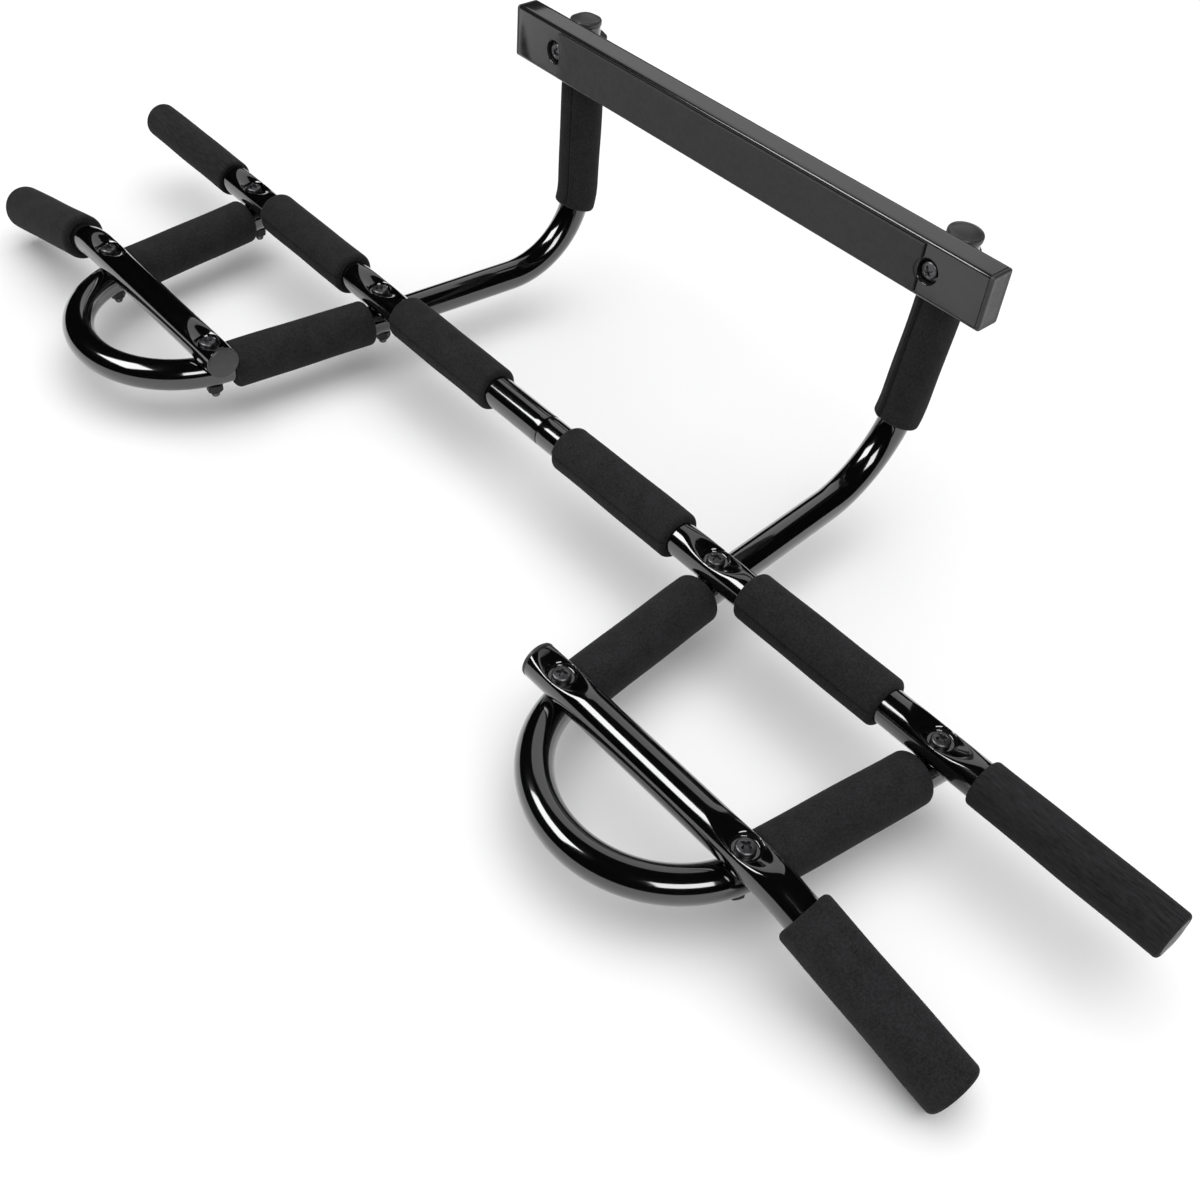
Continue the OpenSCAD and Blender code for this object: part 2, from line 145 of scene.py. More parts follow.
# Quads between neighbouring rows and columns; the columns always close into a ring.
def gridFaces(rows, columns, closedRows):
    r = np.arange(rows if closedRows else rows - 1)[:, None]
    c = np.arange(columns)[None, :]
    r2, c2 = (r + 1) % rows, (c + 1) % columns
    corners = [r * columns + c, r * columns + c2, r2 * columns + c2, r2 * columns + c]
    return np.stack(np.broadcast_arrays(*corners), -1).reshape(-1, 4)


# Vertices, quads and end triangles of one closed solid; open ends get a pole at their middle.
def closedGrid(points, closedRows=False):
    rows, columns, _ = points.shape
    vertices = points.reshape(-1, 3)
    quads = gridFaces(rows, columns, closedRows)
    triangles = np.zeros((0, 3), dtype=int)
    if not closedRows:
        poles = np.array([points[0].mean(axis=0), points[-1].mean(axis=0)])
        first = rows * columns
        c = np.arange(columns)
        c2 = (c + 1) % columns
        last = (rows - 1) * columns
        triangles = np.concatenate([
            np.stack([np.full(columns, first), c2, c], -1),
            np.stack([np.full(columns, first + 1), last + c, last + c2], -1),
        ])
        vertices = np.concatenate([vertices, poles])
    split = np.concatenate([quads[:, [0, 1, 2]], quads[:, [0, 2, 3]], triangles])
    p = vertices[split]
    volume = np.einsum("ij,ij->", p[:, 0], np.cross(p[:, 1], p[:, 2]))
    if volume < 0:                                    # turned inside out, as a mirrored one is
        quads, triangles = quads[:, ::-1], triangles[:, ::-1]
    return vertices, quads, triangles


# The same solids on the other side of the bar's middle: x becomes -x.
def mirrored(solids):
    return [points * np.array([-1.0, 1.0, 1.0]) for points in solids]


# One object from the point grids of its solids, in mm from the main bar's middle.
def addPiece(name, solids, material, slot, replaced=(), closedRows=False, crease=50, foam=None):
    vertices, faces, count = [], [], 0
    for points in solids:
        v, quads, triangles = closedGrid(points, closedRows)
        vertices.append(v)
        faces += (quads + count).tolist() + (triangles + count).tolist()
        count += len(v)
    mesh = bpy.data.meshes.new(name)
    mesh.from_pydata(((np.concatenate(vertices) + barMiddle) * mm).tolist(), [], faces)
    mesh.polygons.foreach_set("use_smooth", np.ones(len(mesh.polygons), dtype=bool))
    mesh.set_sharp_from_angle(angle=math.radians(crease))
    mesh.materials.append(material)
    mesh.validate()
    piece = bpy.data.objects.new(name, mesh)
    bpy.context.scene.collection.objects.link(piece)
    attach(piece, "root")
    if replaced:
        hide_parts(*replaced)
    return piece


# One side's piece: it is laid out on the right, and mirrored for the left.
def addSide(name, side, solids, material, slot, node, **more):
    solids = solids if side == "Right" else mirrored(solids)
    addPiece(name + side, solids, material, slot, [node + "_" + side.lower()], **more)


# The same piece on both sides.
def addPair(name, solids, material, slot, node, **more):
    for side in ("Right", "Left"):
        addSide(name, side, solids, material, slot, node, **more)


# A profile of (distance, radius) points turned about the line from start along way.
def turned(profile, start, way, around=64, upward=(0, 0, 1)):
    profile = np.asarray(profile, dtype=float)
    start = np.asarray(start, dtype=float)
    way = unit(way)
    path = (np.array([-500.0, 500.0]), np.array([start - 500 * way, start + 500 * way]), np.array([way, way]))
    return rings(path, profile[:, 0], profile[:, 1], around, upward)


# Cosines and sines over a quarter turn, for rounding an edge.
def quarter(count):
    a = np.radians(np.linspace(0, 90, count))
    return np.cos(a), np.sin(a)


# Materials: each is named for the real one and how its surface was made. Sizes are in mm.

# An sRGB hex colour as linear red, green, blue and alpha.
def linearColour(hexText):
    s = np.array([int(hexText[i:i + 2], 16) for i in (1, 3, 5)]) / 255
    return (*np.where(s <= 0.04045, s / 12.92, ((s + 0.055) / 1.055) ** 2.4), 1.0)


# Adds a node, sets its properties, links or sets its input sockets, and gives its outputs.
def addNode(tree, kind, settings, sockets):
    node = tree.nodes.new(kind)
    for key, value in settings.items():
        setattr(node, key, value)
    for key, value in sockets.items():
        if isinstance(value, bpy.types.NodeSocket):
            tree.links.new(value, node.inputs[key])
        else:
            node.inputs[key].default_value = value
    return node.outputs


# Pattern scale for a feature of that many mm.
def perMm(size):
    return 1.0 / (size * mm)


# A blank material, its nodes, and the place on the object, drawn out along X where it is asked.
def newMaterial(name, drawn=1.0):
    material = bpy.data.materials.new(name)
    material.use_nodes = True
    tree = material.node_tree
    tree.nodes.clear()
    place = addNode(tree, "ShaderNodeTexCoord", {}, {})["Object"]
    if drawn != 1.0:
        place = addNode(tree, "ShaderNodeMapping", {}, {
            "Vector": place, "Scale": (1 / drawn, 1, 1)})["Vector"]
    return material, tree, place


noiseLow, noiseHigh = 0.3, 0.7      # noise seldom leaves this range


# Most finishes: cloud blends two colours, patch moves the roughness between two values, and
# grain raises the surface by depth. Each pattern is (size, detail).
def makeFinish(name, look):
    material, tree, place = newMaterial(name, look.get("drawn", 1.0))
    noises = {}
    for pattern in ("cloud", "patch", "grain"):
        if pattern in look:
            size, detail = look[pattern]
            noises[pattern] = addNode(tree, "ShaderNodeTexNoise", {}, {
                "Vector": place, "Scale": perMm(size), "Detail": detail})["Fac"]
    sockets = dict(look["shader"])
    first, second = look["colours"]
    sockets["Base Color"] = addNode(tree, "ShaderNodeMix", {"data_type": "RGBA"}, {
        0: noises["cloud"], 6: linearColour(first), 7: linearColour(second)})[2]
    if "patch" in noises:
        low, high = look["roughness"]
        sockets["Roughness"] = addNode(tree, "ShaderNodeMapRange", {}, {
            "Value": noises["patch"], "From Min": noiseLow, "From Max": noiseHigh,
            "To Min": low, "To Max": high})["Result"]
    if "grain" in noises:
        sockets["Normal"] = addNode(tree, "ShaderNodeBump", {}, {
            "Height": noises["grain"], "Distance": look["depth"] * mm, "Strength": 1.0})["Normal"]
    shader = addNode(tree, "ShaderNodeBsdfPrincipled", {}, sockets)["BSDF"]
    addNode(tree, "ShaderNodeOutputMaterial", {}, {"Surface": shader})
    return material


# Stoved gloss enamel on steel tube: deep black, with long sharp highlights that waver a little
enamel = makeFinish("stovedBlackEnamel", {
    "colours": ("#050506", "#0a0a0b"), "cloud": (30, 3.0),
    "roughness": (0.09, 0.14), "patch": (9, 4.0),
    "grain": (2.6, 1.0), "depth": 0.0012,       # orange peel of sprayed enamel
    "shader": {"IOR": 1.55, "Coat Weight": 0.9, "Coat Roughness": 0.05, "Coat IOR": 1.6},
})

# Semi-gloss powder coat on box section: even, fine-grained, with broad highlights
powder = makeFinish("semiGlossPowderCoat", {
    "colours": ("#1b1b1c", "#232324"), "cloud": (18, 3.0),
    "roughness": (0.1, 0.14), "patch": (5, 4.0),
    "grain": (0.9, 2.0), "depth": 0.003,        # the coat's texture, drawn a little coarse
    "shader": {"IOR": 1.6},
})

# Injection-moulded polyethylene plugs: spark-eroded matt face, mid grey in the light
plastic = makeFinish("mouldedPolyethylene", {
    "colours": ("#2e2e2f", "#39393a"), "cloud": (6, 3.0),
    "roughness": (0.38, 0.5), "patch": (2, 3.0),
    "grain": (0.5, 2.0), "depth": 0.015,
    "shader": {"IOR": 1.51},
})

# Black zinc-plated steel: dark grey metal, its tone varying in small patches
screw = makeFinish("blackZincPlate", {
    "colours": ("#525254", "#767678"), "cloud": (2.5, 4.0),
    "roughness": (0.34, 0.5), "patch": (1.2, 3.0),
    "grain": (0.7, 2.0), "depth": 0.01,
    "shader": {"Metallic": 1.0},
})

# Black-oxide steel: nearly black, with a dull oily sheen
nutSteel = makeFinish("blackOxideSteel", {
    "colours": ("#0c0c0d", "#1a1a1b"), "cloud": (2, 3.0),
    "roughness": (0.45, 0.6), "patch": (1, 3.0),
    "shader": {"IOR": 1.45},
})

# Cold-drawn steel, oiled: fine lines along the tube
bareSteel = makeFinish("coldDrawnSteel", {
    "drawn": 20.0,
    "colours": ("#5a5a5c", "#77777a"), "cloud": (0.6, 3.0),
    "roughness": (0.25, 0.4), "patch": (0.4, 2.0),
    "shader": {"Metallic": 1.0},
})

padLook = {
    "colours": ("#262627", "#303031"), "cloud": 14,
    "roughness": (0.55, 0.68), "patch": 4,
    "cell": 1.1, "depth": 0.03, "strength": 0.6,
}


# Calendered EVA strip: dull and flat, with a faint leathery grain of small cells.
def makePad():
    material, tree, place = newMaterial("calenderedEvaStrip")
    cells = addNode(tree, "ShaderNodeTexVoronoi", {"feature": "F1"}, {
        "Vector": place, "Scale": perMm(padLook["cell"])})["Distance"]
    cloud = addNode(tree, "ShaderNodeTexNoise", {}, {
        "Vector": place, "Scale": perMm(padLook["cloud"]), "Detail": 4.0})["Fac"]
    patch = addNode(tree, "ShaderNodeTexNoise", {}, {
        "Vector": place, "Scale": perMm(padLook["patch"]), "Detail": 2.0})["Fac"]
    shader = addNode(tree, "ShaderNodeBsdfPrincipled", {}, {
        "Base Color": addNode(tree, "ShaderNodeMix", {"data_type": "RGBA"}, {
            0: cloud, 6: linearColour(padLook["colours"][0]), 7: linearColour(padLook["colours"][1])})[2],
        "Roughness": addNode(tree, "ShaderNodeMapRange", {}, {
            "Value": patch, "From Min": noiseLow, "From Max": noiseHigh,
            "To Min": padLook["roughness"][0], "To Max": padLook["roughness"][1]})["Result"],
        "IOR": 1.47,
        "Normal": addNode(tree, "ShaderNodeBump", {}, {
            "Height": cells, "Distance": padLook["depth"] * mm, "Strength": padLook["strength"]})["Normal"],
    })["BSDF"]
    addNode(tree, "ShaderNodeOutputMaterial", {}, {"Surface": shader})
    return material


foamLook = {
    "colours": ("#0e0e0f", "#2b2b2d"),
    "mottle": (0.45, 0.85),     # the first colour below this much mottle, the second above it
    "cloud": 12,
    "pore": 0.85,               # cut cells, drawn a little coarse
    "poreDepth": 0.10,
    "grain": 1.3,               # the sandy mottle
    "grainDepth": 0.12,
    "roughness": (0.86, 0.98),
    "sheen": 0.09,
}


# Skived closed-cell NBR foam: no gloss at all, with a fine sandy grain and a grey bloom.
# Mottle is the grain plus a little of the cloud; the grain is raised over the pores.
def makeFoam(name, drawn=1.0):
    material, tree, place = newMaterial(name, drawn)
    cells = addNode(tree, "ShaderNodeTexVoronoi", {"feature": "F1"}, {
        "Vector": place, "Scale": perMm(foamLook["pore"])})["Distance"]
    grain = addNode(tree, "ShaderNodeTexNoise", {}, {
        "Vector": place, "Scale": perMm(foamLook["grain"]), "Detail": 4.0, "Roughness": 0.75})["Fac"]
    cloud = addNode(tree, "ShaderNodeTexNoise", {}, {
        "Vector": place, "Scale": perMm(foamLook["cloud"]), "Detail": 4.0, "Roughness": 0.6})["Fac"]
    mottle = addNode(tree, "ShaderNodeMath", {"operation": "MULTIPLY_ADD"}, {
        0: cloud, 1: 0.3, 2: grain})["Value"]
    bloom = addNode(tree, "ShaderNodeMapRange", {}, {
        "Value": mottle, "From Min": foamLook["mottle"][0], "From Max": foamLook["mottle"][1],
        "To Min": 0.0, "To Max": 1.0})["Result"]
    pores = addNode(tree, "ShaderNodeBump", {}, {
        "Height": cells, "Distance": foamLook["poreDepth"] * mm, "Strength": 0.7})["Normal"]
    shader = addNode(tree, "ShaderNodeBsdfPrincipled", {}, {
        "Base Color": addNode(tree, "ShaderNodeMix", {"data_type": "RGBA"}, {
            0: bloom, 6: linearColour(foamLook["colours"][0]), 7: linearColour(foamLook["colours"][1])})[2],
        "Roughness": addNode(tree, "ShaderNodeMapRange", {}, {
            "Value": grain, "From Min": noiseLow, "From Max": noiseHigh,
            "To Min": foamLook["roughness"][0], "To Max": foamLook["roughness"][1]})["Result"],
        "IOR": 1.4,
        "Specular IOR Level": 0.25,
        "Sheen Weight": foamLook["sheen"], "Sheen Roughness": 0.55, "Sheen Tint": linearColour("#8a8a8c"),
        "Normal": addNode(tree, "ShaderNodeBump", {}, {
            "Height": grain, "Distance": foamLook["grainDepth"] * mm, "Strength": 0.5,
            "Normal": pores})["Normal"],
    })["BSDF"]
    addNode(tree, "ShaderNodeOutputMaterial", {}, {"Surface": shader})
    return material


pad = makePad()
foam = makeFoam("skivedNbrFoam")
drawnFoam = makeFoam("drawnNbrFoam", 6.0)       # the end grips' foam has its grain along the bar
print("materials made")


# Tubes, pressed where a bolt or another tube meets them

dimple = {
    "flat": 7.2,                # radius of the flat under the head
    "step": 1.7, "stepWidth": 1.5,
    "rise": 0.42,               # slope of the flare beyond the step
    "lip": 0.9, "flareLip": 2.6, "reach": 28.0,
}


# Above a bar's middle, height becomes the smaller of itself and the dimple's floor. The floor is
# seat + step * ramp(beyond the flat) + rise * distance beyond the step; the flare's distance
# counts more across the bar, so it is boat-shaped. Below the middle, height becomes the larger of
# itself and the top of the leg that crosses there.
def pressBolts(points, bolts):
    x, y, z = points[..., 0], points[..., 1], points[..., 2]
    for boltX, boltY, leg in bolts:
        across, along = y - boltY, x - boltX
        out = np.hypot(along, across)
        boat = np.hypot(along, 1.3 * across) - dimple["flat"] - dimple["stepWidth"]
        floor = layout["seat"] + dimple["step"] * ramp((out - dimple["flat"]) / dimple["stepWidth"])
        floor = floor + dimple["rise"] * smoothMax(boat, np.zeros_like(boat), 0.8)
        lip = dimple["lip"] + (dimple["flareLip"] - dimple["lip"]) * ramp(boat / 8)
        pressed = smoothMin(z, floor, lip)
        near = (np.abs(along) < dimple["reach"]) & (z > 0)
        z = np.where(near, np.minimum(z, pressed), z)
        side = np.abs(along * -leg[1] + across * leg[0])
        legTop = -layout["drop"] + np.sqrt(np.maximum((layout["loopRadius"] + 0.05) ** 2 - side ** 2, 0))
        crossed = (side < layout["loopRadius"]) & (points[..., 2] < 0)
        z = np.where(crossed, np.maximum(z, smoothMax(z, legTop, 0.5)), z)
    return np.stack([x, y, z], axis=-1)


# Stations and radii of a tube whose two rims are rounded over: radius - edge * (1 - sin)
def tubeRows(stations, radius, edge=0.5):
    c, s = quarter(5)
    first, last = stations[0], stations[-1]
    inner = stations[(stations > first + edge + 0.05) & (stations < last - edge - 0.05)]
    at = np.concatenate([[first], first + edge * (1 - c[1:-1]), [first + edge], inner,
                         [last - edge], (last - edge * (1 - c[1:-1]))[::-1], [last]])
    radii = np.concatenate([[radius - edge], radius - edge * (1 - s[1:-1]), [radius],
                            np.full(len(inner), radius),
                            [radius], (radius - edge * (1 - s[1:-1]))[::-1], [radius - edge]])
    return at, radii


# Coarse stations, with fine ones within reach of each place in fineAt.
def spaced(first, last, coarse, fineAt=(), fine=0.5, reach=28.0):
    at = np.arange(first, last, coarse)
    for place in fineAt:
        at = at[np.abs(at - place) > reach]
    clusters = [np.arange(place - reach, place + reach, fine) for place in fineAt]
    at = np.concatenate([at, *clusters, [first, last]])
    return np.unique(at[(at >= first) & (at <= last)])


barAround = 112                 # columns round a bar


# A straight tube from start to the bar's end, pressed at its two bolts.
def mainBarHalf(start):
    end = layout["halfBar"]
    path = bentPath([[start, 0, 0], [end, 0, 0]], [])
    bolts = [bolt[0] - start for bolt in barBolts]
    s, radii = tubeRows(spaced(0, end - start, 6.0, bolts), layout["barRadius"], 0.6)
    return pressBolts(rings(path, s, radii, barAround), barBolts)


addPiece("mainBarRight", [mainBarHalf(layout["seam"] + layout["seamGap"])],
         enamel, "black_enamel", ["main_bar_right"])
addPiece("mainBarLeft", mirrored([mainBarHalf(-layout["seam"] + layout["seamGap"])]),
         enamel, "black_enamel", ["main_bar_left"])

shortBar = {
    "inner": 165.5, "bendX": 341.0, "bendRadius": 60.0, "endLength": 122.5,
    "Right": (17.16, 3.06),     # degrees its outer end points down, and back to the main bar
    "Left": (12.5, -2.0),       # below 0 is towards the user
}
shortStart = np.array([shortBar["inner"], layout["shortY"], 0.0])
shortCorner = np.array([shortBar["bendX"], layout["shortY"], 0.0])
shortWays = {}
for side in ("Right", "Left"):
    down, back = np.radians(shortBar[side])
    way = np.array([math.cos(back) * math.cos(down), math.sin(back) * math.cos(down), -math.sin(down)])
    path = bentPath([shortStart, shortCorner, shortCorner + way * shortBar["endLength"]],
                    [shortBar["bendRadius"]])
    s, radii = tubeRows(spaced(0, path[0][-1], 1.6, [b[0] - shortBar["inner"] for b in shortBolts]),
                        layout["barRadius"])
    addSide("shortBar", side, [pressBolts(rings(path, s, radii, barAround), shortBolts)],
            enamel, "black_enamel", "short_bar")
    shortWays[side] = way

loop = {
    "tail": 14.0, "bendRadius": 70.7, "toe": 4.49, "elbowBack": 16.0, "elbowRadius": 200.0,
    "uprightY": 168.7, "armRadius": 62.0, "splay": 3.2, "lean": 2.0, "top": 156.0,
    "flat": 6.8,                # radius of the flats under the washers
    "flatCut": 0.9,             # depth of those flats
}
innerCross = np.array([layout["innerX"], 0, -layout["drop"]])
outerCross = np.array([layout["outerX"], 0, -layout["drop"]])
toe = math.radians(loop["toe"])
armWay = np.array([-math.sin(toe), math.cos(toe), 0.0])
upWay = unit([math.tan(math.radians(loop["splay"])), math.tan(math.radians(loop["lean"])), 1.0])
meet = (layout["outerX"] - layout["innerX"]) / (layout["innerShift"] - layout["outerShift"])
apex = innerCross + np.array([layout["innerShift"], layout["shortY"], 0.0]) * meet
elbow = innerCross - legIn * loop["elbowBack"]
armCorner = elbow + armWay * (loop["uprightY"] - elbow[1]) / armWay[1]
armTop = armCorner + upWay * (loop["top"] + layout["drop"]) / upWay[2]
loopPath = bentPath([outerCross - legOut * loop["tail"], apex, elbow, armCorner, armTop],
                    [loop["bendRadius"], loop["elbowRadius"], loop["armRadius"]])
boltPoint = armCorner + upWay * (layout["crossMiddle"] + layout["drop"]) / upWay[2]
crossWasherY = boltPoint[1] + layout["loopRadius"] - loop["flatCut"]


# Round each leg bolt the underside is raised to the washer, and behind each crossbar bolt the
# upright's back is brought in to the washer, both with a soft edge.
def pressFlats(points):
    x, y, z = points[..., 0], points[..., 1], points[..., 2]
    for boltX, boltY, _ in barBolts + shortBolts:
        out = np.hypot(x - boltX, y - boltY)
        near = 1 - ramp((out - loop["flat"]) / 2.0)
        low = smoothMax(z, np.full_like(z, layout["washerTop"]), 0.15)
        z = np.where((points[..., 2] < -layout["drop"]) & (near > 0), z + near * (low - z), z)
    out = np.hypot(x - boltPoint[0], z - boltPoint[2])
    near = 1 - ramp((out - loop["flat"]) / 2.0)
    low = smoothMin(y, np.full_like(y, crossWasherY), 0.15)
    y = np.where((y > boltPoint[1]) & (near > 0), y + near * (low - y), y)
    return np.stack([x, y, z], axis=-1)


s, radii = tubeRows(spaced(0, loopPath[0][-1], 1.4), layout["loopRadius"])
addPair("loopArm", [pressFlats(rings(loopPath, s, radii, 72, upward=(0.7, 0, 0.7)))],
        enamel, "black_enamel", "loop_arm")
print("tubes made")

# Crossbar: a rounded box section with a pressed cup round each bolt and a bed for each upright

crossbar = {
    "half": 204.75, "depth": 18.0, "height": 35.8, "corner": 2.25,
    "cupRadius": 8.0, "cupDepth": 4.2, "cupWall": 0.9,
    "reach": 12.0, "easeFrom": 9.6, "easeWidth": 2.4,   # of the fine grid round a cup
    "edge": 0.5,                # rounding of the tube's rims
    "nest": 1.2,                # how far an upright beds into the back
}
crossFront = boltPoint[1] - layout["loopRadius"] + crossbar["nest"] - crossbar["depth"]
crossMiddleY = crossFront + crossbar["depth"] / 2


# A rounded rectangle, anticlockwise from the front's lower end: (y, z) pairs.
# The front runs in fine even steps; the rest is coarser.
def sectionRing(halfDepth, halfHeight, corner, fine):
    c, s = quarter(6)
    d, h = halfDepth - corner, halfHeight - corner
    front = np.stack([np.full(fine, -halfDepth), np.linspace(-h, h, fine)], -1)
    back = np.stack([np.full(fine, halfDepth), np.linspace(h, -h, fine)], -1)
    top = np.stack([np.linspace(-d, d, 8), np.full(8, halfHeight)], -1)
    corners = [
        np.stack([-d - corner * c, h + corner * s], -1)[1:-1],
        np.stack([d + corner * s, h + corner * c], -1)[1:-1],
        np.stack([d + corner * c, -h - corner * s], -1)[1:-1],
        np.stack([-d - corner * s, -h - corner * c], -1)[1:-1],
    ]
    bottom = np.stack([np.linspace(d, -d, 8), np.full(8, -halfHeight)], -1)
    return np.concatenate([front, corners[0], top, corners[1], back, corners[2], bottom, corners[3]])


# Rows are section rings along X. Near a bolt the even square grid is eased into circles, so the
# cup's wall follows grid rows; then the front is pushed in by cupDepth inside the cup.
def crossbarSolid():
    boltX, reach = boltPoint[0], crossbar["reach"]
    half, edge = crossbar["half"], crossbar["edge"]
    x = np.concatenate([np.arange(0, boltX - reach, 8.0), np.linspace(boltX - reach, boltX + reach, 61),
                        [boltX + reach + 4, boltX + reach + 10, half - edge]])
    x = np.unique(np.concatenate([-x, x]))
    ring = sectionRing(crossbar["depth"] / 2, crossbar["height"] / 2, crossbar["corner"], 69)
    points = np.zeros((len(x), len(ring), 3))
    points[..., 0] = x[:, None]
    points[..., 1] = crossMiddleY + ring[None, :, 0]
    points[..., 2] = layout["crossMiddle"] + ring[None, :, 1]
    front = np.abs(points[..., 1] - crossFront) < 1e-6
    for sign in (-1, 1):
        u, v = points[..., 0] - sign * boltX, points[..., 2] - layout["crossMiddle"]
        square, out = np.maximum(np.abs(u), np.abs(v)), np.hypot(u, v) + 1e-9
        ease = (1 - ramp((square - crossbar["easeFrom"]) / crossbar["easeWidth"])) * (square < reach) * front
        scale = 1 + ease * (square / out - 1)
        points[..., 0] = sign * boltX + u * scale
        points[..., 2] = layout["crossMiddle"] + v * scale
        out = np.hypot(points[..., 0] - sign * boltX, points[..., 2] - layout["crossMiddle"])
        inside = 1 - ramp((out - crossbar["cupRadius"] + crossbar["cupWall"]) / crossbar["cupWall"])
        points[..., 1] += crossbar["cupDepth"] * inside * front
        # the upright's bed: the back stays in front of the upright, 0.1 mm clear
        rise = (points[..., 2] - boltPoint[2]) / upWay[2]
        axisX, axisY = sign * (boltPoint[0] + rise * upWay[0]), boltPoint[1] + rise * upWay[1]
        side = np.abs(points[..., 0] - axisX)
        bed = axisY - np.sqrt(np.maximum((layout["loopRadius"] + 0.1) ** 2 - side ** 2, 0))
        close = (side < layout["loopRadius"]) & (points[..., 1] > crossMiddleY)
        y = points[..., 1]
        points[..., 1] = np.where(close, np.minimum(y, smoothMin(y, bed, 0.3)), y)
    ends = []
    for sign in (-1, 1):
        c, s = quarter(4)
        for shrink, reachOut in zip(edge * (1 - s), edge * (1 - c)):
            small = sectionRing(crossbar["depth"] / 2 - shrink, crossbar["height"] / 2 - shrink,
                                crossbar["corner"] - shrink, 69)
            row = np.zeros((1, len(ring), 3))
            row[..., 0] = sign * (half - reachOut)
            row[..., 1:] = small[None] + [crossMiddleY, layout["crossMiddle"]]
            ends.append(row)
    left, right = ends[:4], ends[4:]
    return np.concatenate([*left, points[1:-1], *right[::-1]])


addPiece("crossbarTube", [crossbarSolid()], powder, "black_enamel", ["crossbar"])


# Section rings at the given x, each a rounded rectangle set in by its inset.
def roundedPlate(x, insets, corner, halfDepth, halfHeight):
    rows = []
    for at, inset in zip(x, insets):
        ring = sectionRing(halfDepth - inset, halfHeight - inset, max(corner - inset, 0.35), 13)
        ring = ring + [crossMiddleY, layout["crossMiddle"]]
        rows.append(np.concatenate([np.full((len(ring), 1), at), ring], 1))
    return np.array(rows)


crossCap = {"stem": 12.0, "stemInset": 1.5, "thick": 2.5, "round": 1.5, "dish": 0.35}


# A stem inside the tube, a rim over its end, an edge rounded by a quarter circle, then a face
# that ramps down to a shallow dish. Inset against distance.
def crossCapSolid():
    start, r = crossbar["half"], crossCap["round"]
    c, s = quarter(6)
    x = [start - crossCap["stem"], start - crossCap["stem"] + 0.6, start, start, start + 0.2]
    inset = [crossCap["stemInset"] + 0.5, crossCap["stemInset"], crossCap["stemInset"], 0.3, 0.05]
    x += list(start + crossCap["thick"] - r + r * s)
    inset += list(0.02 + r * (1 - c))
    flat = np.linspace(r + 0.5, crossbar["depth"] / 2 - 0.5, 6)
    x += list(start + crossCap["thick"] - crossCap["dish"] * ramp((flat - r) / 1.4))
    inset += list(flat)
    return roundedPlate(x, inset, crossbar["corner"], crossbar["depth"] / 2, crossbar["height"] / 2)


addPair("crossbarCap", [crossCapSolid()], plastic, "plastic", "crossbar_cap")

wallPad = {"half": 160.0, "thick": 2.0, "low": 127.2, "high": 158.2, "bite": 8.6, "round": 0.7}


# A flat strip; each end's x is the nearer of the strip's end and the bite round the cup,
# boltX - sqrt(bite squared - height squared). Its section is a rounded rectangle.
def padSolid():
    boltX = boltPoint[0]
    halfH, halfT, r = (wallPad["high"] - wallPad["low"]) / 2, wallPad["thick"] / 2, wallPad["round"]
    z0, y0 = (wallPad["high"] + wallPad["low"]) / 2, crossFront - halfT
    ring = sectionRing(halfT, halfH, r, 57)
    u = np.concatenate([[-1, -1, -1, -1], np.linspace(-1, 1, 41)[1:-1], [1, 1, 1, 1]])
    set1 = np.array([0.0, 0.0, 0.08, 0.35])
    thin = np.array([0.02, 0.55, 0.85, 1.0])
    pull = np.concatenate([set1, np.full(39, 0.0), -set1[::-1]])
    thickness = np.concatenate([thin, np.ones(39), thin[::-1]])
    height = z0 + ring[:, 1] - layout["crossMiddle"]
    bite = boltX - np.sqrt(np.maximum(wallPad["bite"] ** 2 - height ** 2, 0))
    bite = np.where(np.abs(height) < wallPad["bite"], bite, 999.0)
    endX = smoothMin(np.full_like(bite, wallPad["half"]), bite, 0.4)
    points = np.zeros((len(u), len(ring), 3))
    points[..., 0] = u[:, None] * endX[None, :] + pull[:, None]
    points[..., 1] = y0 + ring[None, :, 0] * thickness[:, None]
    points[..., 2] = z0 + ring[None, :, 1]
    return points


addPiece("wallPad", [padSolid()], pad, "foam", ["crossbar_wall_pad"], foam=1.0)
print("crossbar made")

# Foam grips and sleeves

grip = {
    "round": 3.2,
    "seamAngle": 80.0,          # degrees from straight up, towards the user
    "seamDepth": 1.1, "seamWidth": 0.55, "lipHeight": 0.5,
    "step": 1.3, "stepReach": 9.0,
    "wobble": 0.14,             # mm, hand-feel unevenness of the foam
}


